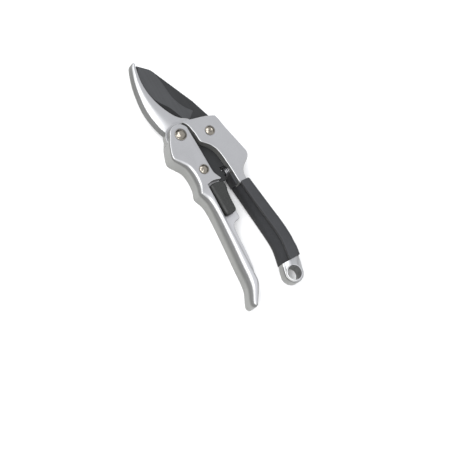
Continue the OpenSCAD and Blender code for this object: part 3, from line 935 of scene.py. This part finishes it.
def grip_section(x, inner, ridge, outer, shrink):
    """Points round the sleeve at one place; its inner side is a flute under the ridge."""
    s = shrink
    inner, ridge, outer = inner - s, ridge - s * 0.6, outer + s
    top, low = 17.6 - s, s
    points = [
        (inner - 3.0, low), (inner - 1.2, low + 0.5), (inner - 0.3, low + 1.7),
        (inner, low + 3.4), (inner - 0.25, 5.8), (inner * 0.6 + ridge * 0.4, 8.6),
        (inner * 0.15 + ridge * 0.85, 11.4), (ridge - 0.5, 13.6), (ridge - 0.35, 15.2),
        (ridge + 0.1, top - 1.3), (ridge + 0.1, top - 0.7), (ridge - 0.35, top - 0.2),
        (ridge - 1.3, top - 0.02), (ridge * 0.5 + outer * 0.5, top), (outer + 3.4, top - 0.15),
        (outer + 1.9, top - 0.7), (outer + 0.8, top - 1.9), (outer + 0.15, top - 3.8),
        (outer, 9.0), (outer + 0.15, low + 3.8), (outer + 0.8, low + 1.9),
        (outer + 1.9, low + 0.6), (outer + 3.4, low), (ridge * 0.5 + outer * 0.5, low)]
    curve = smooth(points, 4, closed=True)
    return np.array([[x, y, max(z, 0.0)] for y, z in curve])


def make_grip():
    """Rubber sleeve of the upper handle, and the buffer pad on its inner side."""
    rows = smooth(GRIP_STATIONS, 6)
    rings = [grip_section(*rows[0], 0.9), grip_section(*rows[0] - [0.12, 0, 0, 0], 0.3)]
    rings += [grip_section(*row, 0.0) for row in rows[1:-1]]
    rings += [grip_section(*rows[-1] + [0.12, 0, 0, 0], 0.3), grip_section(*rows[-1], 0.9)]
    grip = rings_to_piece("grip", rings)
    tidy(grip, 40)
    dress(grip, "body", rubber(), ["grip_sleeve"])
    pad = edged([(-51.9, -23.6), (-51.9, -20.8), (-43.7, -20.8), (-42.9, -21.4), (-42.9, -23.6)],
                0.3, 0.3)
    buffer = plate("buffer_pad", join(pad), 2, 15, 0.3, 3)
    tidy(buffer)
    dress(buffer, "body", rubber(), ["stop_buffer"])


# ---------------------------------------------------------------- blade

BLADE_LOW, BLADE_HIGH = 7.0, 10.0
BLADE_EDGE = [
    [64.2, 0.5], [57, 4.1], [47.5, 5.8], [38.5, 5.2], [30, 2.7], [21.5, -1.2], [13, -7],
    [8, -12.5]]
BLADE_SPINE = [
    [4.5, -32.8], [21.5, -26.5], [41.8, -16.3], [52, -11.2], [55.6, -9.5], [57.9, -7.8],
    [64.2, 0]]
TANG_BAY = [
    [0, -12.2], [-9.2, -11.6], [-15.2, -9.2], [-18.7, -5.9], [-20.6, -2.2], [-22, -1.3],
    [-25, -1.3], [-26.6, -3.2], [-28.3, -6.1], [-31.4, -7.5], [-34.5, -9]]
TANG_TAIL = [
    [-45.5, 2.0], [-47.4, 2.2], [-50.8, 0.7], [-52.8, -1.5], [-52, -2.3], [-46.9, -3.9],
    [-45.5, -11.5], [-44.5, -18.2], [-41, -18.1], [-40.7, -20.4], [-38.3, -20.4],
    [-38, -18], [-34.1, -17.7], [-34.6, -24.4], [-31.4, -31.6], [-14, -31.4], [-10, -31.2],
    [-6.4, -31.9], [-3, -31.2]]


def tang_teeth():
    """Three ratchet teeth along the tang."""
    tooth = np.array([[-36.9, -8.7], [-38.2, -8.3], [-39.4, -6.4], [-39.1, -5.6]])
    return np.concatenate([tooth + k * np.array([-2.8, 3.55]) for k in range(3)])


def strip_cutter(name, outer, inner, outer_z, inner_z, top):
    """Cutter along two matched curves whose underside slopes from one height to the other."""
    rings = []
    for (xa, ya), (xb, yb) in zip(outer, inner):
        rings.append(np.array([[xa, ya, outer_z], [xb, yb, inner_z], [xb, yb, top], [xa, ya, top]]))
    return rings_to_piece(name, rings)


def make_blade():
    """Coated blade with its ground hollow, cutting bevel and ratchet tang."""
    edge = smooth(BLADE_EDGE, 8)
    outline = join(edge, TANG_BAY, tang_teeth(), TANG_TAIL, BLADE_SPINE)
    soft, bevel_depth, back_depth, bore_radius = 0.12, 1.3, 1.9, 4.04
    blade = plate("blade_plate", np.array(edged(outline, soft, soft)), BLADE_LOW, BLADE_HIGH,
                  soft, 2)
    plain, ground = tuple(colours().blade), tuple(colours().blade_hollow)
    coat = finish_once("dark_coating", blade_finish, plain, 25, 0.42, 0.26)
    hollow_coat = finish_once("dark_coating_hollow", blade_finish, ground, -62, 0.38, 0.5)
    # the cutting bevel's crescent takes the plain coat's colour at 0.55, darker than the rest
    bevel_darkened = finish_once("dark_coating_edge", blade_finish, shade(plain, 0.55), 25, 0.36, 0.2)
    blade.data.materials.append(coat)
    depth = sizes().grind_depth * 1000
    grind_line = smooth([[64.4, -0.2], [58.2, -7.2], [52.5, -10.4], [46, -11.6], [38.5, -12.3],
                         [30, -13.4], [21, -17.4], [14.6, -22.9]], 8)
    far_edge = smooth([[66, 5], [57, 8], [47, 9], [38, 8], [29, 5.5], [20.5, 1.6], [11.5, -4.5],
                       [5.6, -12]], 8)
    hollow = strip_cutter("hollow", far_edge, grind_line, BLADE_HIGH - depth,
                          BLADE_HIGH - depth * 0.35, BLADE_HIGH + 2)
    hollow.data.materials.append(hollow_coat)
    boolean(blade, hollow, "DIFFERENCE")
    bevel_out = smooth([[64.5, 3], [57, 7], [47, 8.5], [38, 7.6], [29, 5], [20.5, 1], [11.5, -5],
                        [6, -11.5]], 8)
    bevel_in = smooth([[62.6, -0.4], [56.5, 2.6], [47, 4.1], [38, 2.6], [30.5, -1.9], [23.8, -7],
                       [15.2, -11], [8.4, -13.8]], 8)
    crescent = strip_cutter("crescent", bevel_out, bevel_in, BLADE_HIGH - bevel_depth,
                            BLADE_HIGH - depth * 0.8, BLADE_HIGH + 2)
    crescent.data.materials.append(bevel_darkened)
    boolean(blade, crescent, "DIFFERENCE")
    back_in = smooth([[60.5, -2.5], [55, 0.2], [46, 1.2], [39.5, 0.3], [32, -2.4], [24.5, -6.4],
                      [16.5, -12], [10.5, -16.5]], 8)
    back = strip_cutter("back", back_in, bevel_out, BLADE_LOW, BLADE_LOW + back_depth,
                        BLADE_LOW - 2)
    back.data.materials.append(hollow_coat)
    boolean(blade, back, "DIFFERENCE")
    bore = lathe("bore", BLADE_AXIS, [
        (0, 5), (bore_radius, 5), (bore_radius, 12), (0, 12)], 72)
    bore.data.materials.append(coat)
    boolean(blade, bore, "DIFFERENCE")
    tidy(blade, 12)
    dress(blade, "blade", None, ["blade"])


# ---------------------------------------------------------------- rivets and bolt


def domed_head(radius, height, base, dimple, dimple_depth):
    """Profile of a domed head from its rim to its middle, with an optional dimple."""
    ball = (radius ** 2 + height ** 2) / (2 * height)
    profile = [(radius - 0.12, base), (radius, base + 0.1), (radius, base + 0.28)]
    for t in np.linspace(0.985, 0.0, 15):
        r = radius * t
        z = base + height - ball + math.sqrt(ball ** 2 - r ** 2)
        z = max(z, base + 0.28)
        if r < dimple:
            z -= dimple_depth * (1 - (r / dimple) ** 2) ** 0.6
        profile.append((max(r, 0.0), z))
    return profile


def make_rivet(name, centre, radius, height, shank, body, node, dimple=0.0, depth=0.0):
    """Rivet or bolt with a domed head on the front face."""
    base = sizes().body_top * 1000
    flange = shank + 1.0
    profile = [(0, 0.2), (flange - 0.2, 0.2), (flange, 0.4), (flange, 1.1), (shank, 1.2),
               (shank, base)]
    profile += domed_head(radius, height, base, dimple, depth)
    rivet = lathe(name, centre, profile)
    tidy(rivet, 38)
    dress(rivet, body, rivet_steel(), [node])


def make_rivets():
    """Blade rivet and pawl rivet, each with a dimple in its head, and the main bolt."""
    make_rivet("blade_rivet_head", BLADE_AXIS, 3.8, 1.5, 2.6, "body", "blade_rivet", 1.5, 0.7)
    make_rivet("pawl_rivet_head", PAWL_AXIS, 3.75, 1.55, 2.0, "lower_handle", "pawl_rivet",
               0.8, 0.2)
    make_rivet("main_bolt_head", MAIN_AXIS, 4.6, 2.4, 3.0, "body", "main_bolt")


# ---------------------------------------------------------------- spring and lock


def wire(name, points, radius, sides=12):
    """Round wire along a line of points in millimetres."""
    p = np.array(points, float)
    along = np.gradient(p, axis=0)
    along /= np.linalg.norm(along, axis=1)[:, None]
    rings = []
    up = np.array([0.0, 0.0, 1.0])
    for spot, way in zip(p, along):
        side = np.cross(way, up)
        side /= np.linalg.norm(side)
        lift = np.cross(side, way)
        turns = np.linspace(0, 2 * math.pi, sides, endpoint=False)
        rings.append(np.array(
            [spot + radius * (math.cos(a) * side + math.sin(a) * lift) for a in turns]))
    return rings_to_piece(name, rings)


def make_spring():
    """Opening spring from its pocket in the body to the step of the tang."""
    foot, head = np.array([-38.4, -30.9]), np.array([-39.5, -18.6])
    turns, radius, wire_radius = sizes().spring_turns, 2.75, 0.52
    steps = turns * 28
    axis = (head - foot) / np.linalg.norm(head - foot)
    side = np.array([axis[1], -axis[0]])
    points = []
    for i in range(steps + 1):
        a = 2 * math.pi * turns * i / steps
        t = wire_radius / 12 + (1 - wire_radius / 6) * i / steps
        spot = foot + (head - foot) * t + side * radius * math.cos(a)
        points.append([spot[0], spot[1], MIDDLE_HEIGHT + radius * math.sin(a)])
    spring = wire("coil_spring", points, wire_radius, 10)
    tidy(spring, 60)
    spring.data.materials.append(spring_wire())
    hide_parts("opening_spring")
    start, end = place([[*foot, MIDDLE_HEIGHT], [*head, MIDDLE_HEIGHT]])
    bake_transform(spring)


def make_thumb_lock():
    """Button of the thumb lock, with a sloping back edge, on its steel base."""
    outline = smooth([
        [-56, 0.6, 2.9, 3.6], [-66.5, 0.6, 2.8, 3.4], [-69.6, 0.1, 1.8, 2.2],
        [-70.6, -1.8, 0.9, 1.1], [-70.6, -5, 0.8, 0.9], [-69.9, -8, 0.8, 0.9],
        [-68, -9.2, 0.8, 0.9], [-62, -9.6, 0.9, 1.0],
        [-54.8, -10.4, 0.9, 1.0], [-49.5, -11.7, 1.0, 1.1], [-46.4, -11.4, 1.1, 1.2],
        [-44.9, -9, 1.0, 1.1], [-44.1, -4.6, 1.0, 1.1], [-44.4, -1.2, 1.6, 2.0],
        [-46.2, 0.5, 2.6, 3.2]], 6, closed=True)
    button = plate("lock_button", join(outline), 12.75, 17.45, 0.25, 7)
    tidy(button, 50)
    textured = finish_once("textured_plastic", lock_finish)
    dress(button, "lock", textured, ["thumb_lock"])
    base = smooth(edged([
        (-56, 0.7), (-66.5, 0.7), (-69.4, -0.6), (-69.6, -6), (-67, -8.4), (-56, -9.4),
        (-48, -10.8), (-44.3, -8.6), (-43.5, -4.4), (-43.8, -1.2), (-45.6, 0.6)], 0.12, 0.12),
        5, closed=True)
    foot = plate("lock_foot", join(base), 12.56, 13.3, 0.1, 2)
    tidy(foot, 40)
    dress(foot, "lock", bare_steel())


def dress_hidden_parts():
    """Gives the CAD pieces that stay their own materials."""
    nylon = finish_once("washer_nylon", plastic_finish)
    finishes = {
        "blade_bush": rivet_steel(), "main_nut": rivet_steel(),
        "lock_washer": bare_steel(), "lock_rivets": rivet_steel(),
        "detent_ball": rivet_steel(), "blade_washers": nylon, "pivot_washers": nylon,
        "ratchet_pawl": bare_steel(), "lock_plate": bare_steel(),
        "pawl_spring": spring_wire(), "detent_spring": spring_wire()}
    for name, material in finishes.items():
        part = frame["nodes"][name]
        part.data.materials.clear()
        part.data.materials.append(material)


# ---------------------------------------------------------------- stage


def make_floor():
    """Square floor under the shears."""
    half = 0.5  # metres
    verts = [(-half, -half, 0), (half, -half, 0), (half, half, 0), (-half, half, 0)]
    floor = new_piece("floor", verts, [(0, 1, 2, 3)])
    floor.data.materials.append(finish_once("pale_floor", floor_finish))


def window(name, place_m, size, power):
    """Rectangular area light that looks at the shears."""
    lamp = bpy.data.lights.new(name, "AREA")
    lamp.shape = "RECTANGLE"
    lamp.size, lamp.size_y = size
    lamp.energy = power
    holder = bpy.data.objects.new(name, lamp)
    bpy.context.scene.collection.objects.link(holder)
    holder.location = place_m
    holder.rotation_euler = (-Vector(place_m)).to_track_quat("-Z", "Y").to_euler()


def make_lights():
    """Two window lights, and a sky that is bright overhead and nearly dark at the horizon."""
    window("side_window", (0.12, 0.74, 0.94), (1.1, 0.8), 12)
    window("front_window", (0.75, 0.25, 0.9), (0.35, 0.35), 1.6)
    world = bpy.data.worlds.new("studio")
    bpy.context.scene.world = world
    world.use_nodes = True
    nodes, links = world.node_tree.nodes, world.node_tree.links
    sky = nodes["Background"]
    way = nodes.new("ShaderNodeTexCoord")
    split = nodes.new("ShaderNodeSeparateXYZ")
    ramp = nodes.new("ShaderNodeMapRange")
    ramp.interpolation_type = "SMOOTHSTEP"
    heights = (("From Min", 0.05), ("From Max", 0.55), ("To Min", 0.1), ("To Max", 1.3))
    for name, number in heights:
        ramp.inputs[name].default_value = number
    sky.inputs["Color"].default_value = (0.97, 0.98, 1.0, 1)
    links.new(way.outputs["Generated"], split.inputs["Vector"])
    links.new(split.outputs["Z"], ramp.inputs["Value"])
    links.new(ramp.outputs["Result"], sky.inputs["Strength"])


def make_camera():
    """Camera above the lower handle's side, rolled so that the jaws point up and to the left."""
    right = Vector((-0.498, -0.800, 0.336))
    up = Vector((0.861, -0.408, 0.306))
    back = right.cross(up).normalized()
    up = back.cross(right).normalized()
    right = up.cross(back)
    target = Vector(place([[-75.1, 1.7, 8.6]])[0])
    camera = bpy.data.objects.new("camera", bpy.data.cameras.new("camera"))
    bpy.context.scene.collection.objects.link(camera)
    camera.data.lens = 100
    camera.data.sensor_width = 36
    camera.data.clip_start = 0.01
    turn = Matrix((right, up, back)).transposed().to_4x4()
    camera.matrix_world = Matrix.Translation(target + back * sizes().camera_distance) @ turn
    bpy.context.scene.camera = camera
    bpy.context.scene.view_settings.view_transform = "Standard"


# ---------------------------------------------------------------- operators


class SHEARS_OT_body(Operator):
    """Build the body casting with the hook jaw and the end cap"""

    bl_idname = "shears.body"
    bl_label = "Body Casting"

    def execute(self, context):
        make_body_casting()
        return {"FINISHED"}


class SHEARS_OT_lower_handle(Operator):
    """Build the lower handle with its fork and flange"""

    bl_idname = "shears.lower_handle"
    bl_label = "Lower Handle"

    def execute(self, context):
        make_lower_handle()
        return {"FINISHED"}


class SHEARS_OT_grip(Operator):
    """Build the rubber grip sleeve and the stop buffer"""

    bl_idname = "shears.grip"
    bl_label = "Grip"

    def execute(self, context):
        make_grip()
        return {"FINISHED"}


class SHEARS_OT_blade(Operator):
    """Build the ground blade with its ratchet tang"""

    bl_idname = "shears.blade"
    bl_label = "Blade"

    def execute(self, context):
        make_blade()
        return {"FINISHED"}


class SHEARS_OT_rivets(Operator):
    """Build the main bolt and the two rivets"""

    bl_idname = "shears.rivets"
    bl_label = "Bolt and Rivets"

    def execute(self, context):
        make_rivets()
        return {"FINISHED"}


class SHEARS_OT_spring(Operator):
    """Build the opening spring"""

    bl_idname = "shears.spring"
    bl_label = "Opening Spring"

    def execute(self, context):
        make_spring()
        return {"FINISHED"}


class SHEARS_OT_thumb_lock(Operator):
    """Build the thumb lock's button and its steel foot"""

    bl_idname = "shears.thumb_lock"
    bl_label = "Thumb Lock"

    def execute(self, context):
        make_thumb_lock()
        return {"FINISHED"}


class SHEARS_OT_hidden_parts(Operator):
    """Give the inner parts their materials"""

    bl_idname = "shears.hidden_parts"
    bl_label = "Inner Parts"

    def execute(self, context):
        dress_hidden_parts()
        return {"FINISHED"}


class SHEARS_OT_stage(Operator):
    """Set up the floor, the lights and the camera"""

    bl_idname = "shears.stage"
    bl_label = "Stage"

    def execute(self, context):
        make_floor()
        make_lights()
        make_camera()
        return {"FINISHED"}


OPERATORS = (
    SHEARS_OT_stage, SHEARS_OT_body, SHEARS_OT_lower_handle, SHEARS_OT_grip, SHEARS_OT_blade,
    SHEARS_OT_rivets, SHEARS_OT_spring, SHEARS_OT_thumb_lock, SHEARS_OT_hidden_parts)


class SHEARS_PT_panel(Panel):
    """Lists the shears' operators, sizes and colours"""

    bl_label = "Pruning Shears"
    bl_idname = "SHEARS_PT_panel"
    bl_space_type = "VIEW_3D"
    bl_region_type = "UI"
    bl_category = "Shears"

    def draw(self, context):
        for operator in OPERATORS:
            self.layout.operator(operator.bl_idname)
        for group in (context.scene.shears_sizes, context.scene.shears_colours):
            box = self.layout.box()
            for name in group.__annotations__:
                box.prop(group, name)


CLASSES = (ShearsSizes, ShearsColours, *OPERATORS, SHEARS_PT_panel)


def register():
    """Adds the shears' classes, sizes and colours to Blender."""
    for cls in CLASSES:
        bpy.utils.register_class(cls)
    bpy.types.Scene.shears_sizes = PointerProperty(type=ShearsSizes)
    bpy.types.Scene.shears_colours = PointerProperty(type=ShearsColours)


def unregister():
    """Takes them out again."""
    del bpy.types.Scene.shears_colours
    del bpy.types.Scene.shears_sizes
    for cls in reversed(CLASSES):
        bpy.utils.unregister_class(cls)


def main():
    """Builds the stage and every piece."""
    register()
    for operator in OPERATORS:
        group, name = operator.bl_idname.split(".")
        getattr(getattr(bpy.ops, group), name)()


if __name__ == "__main__":
    main()
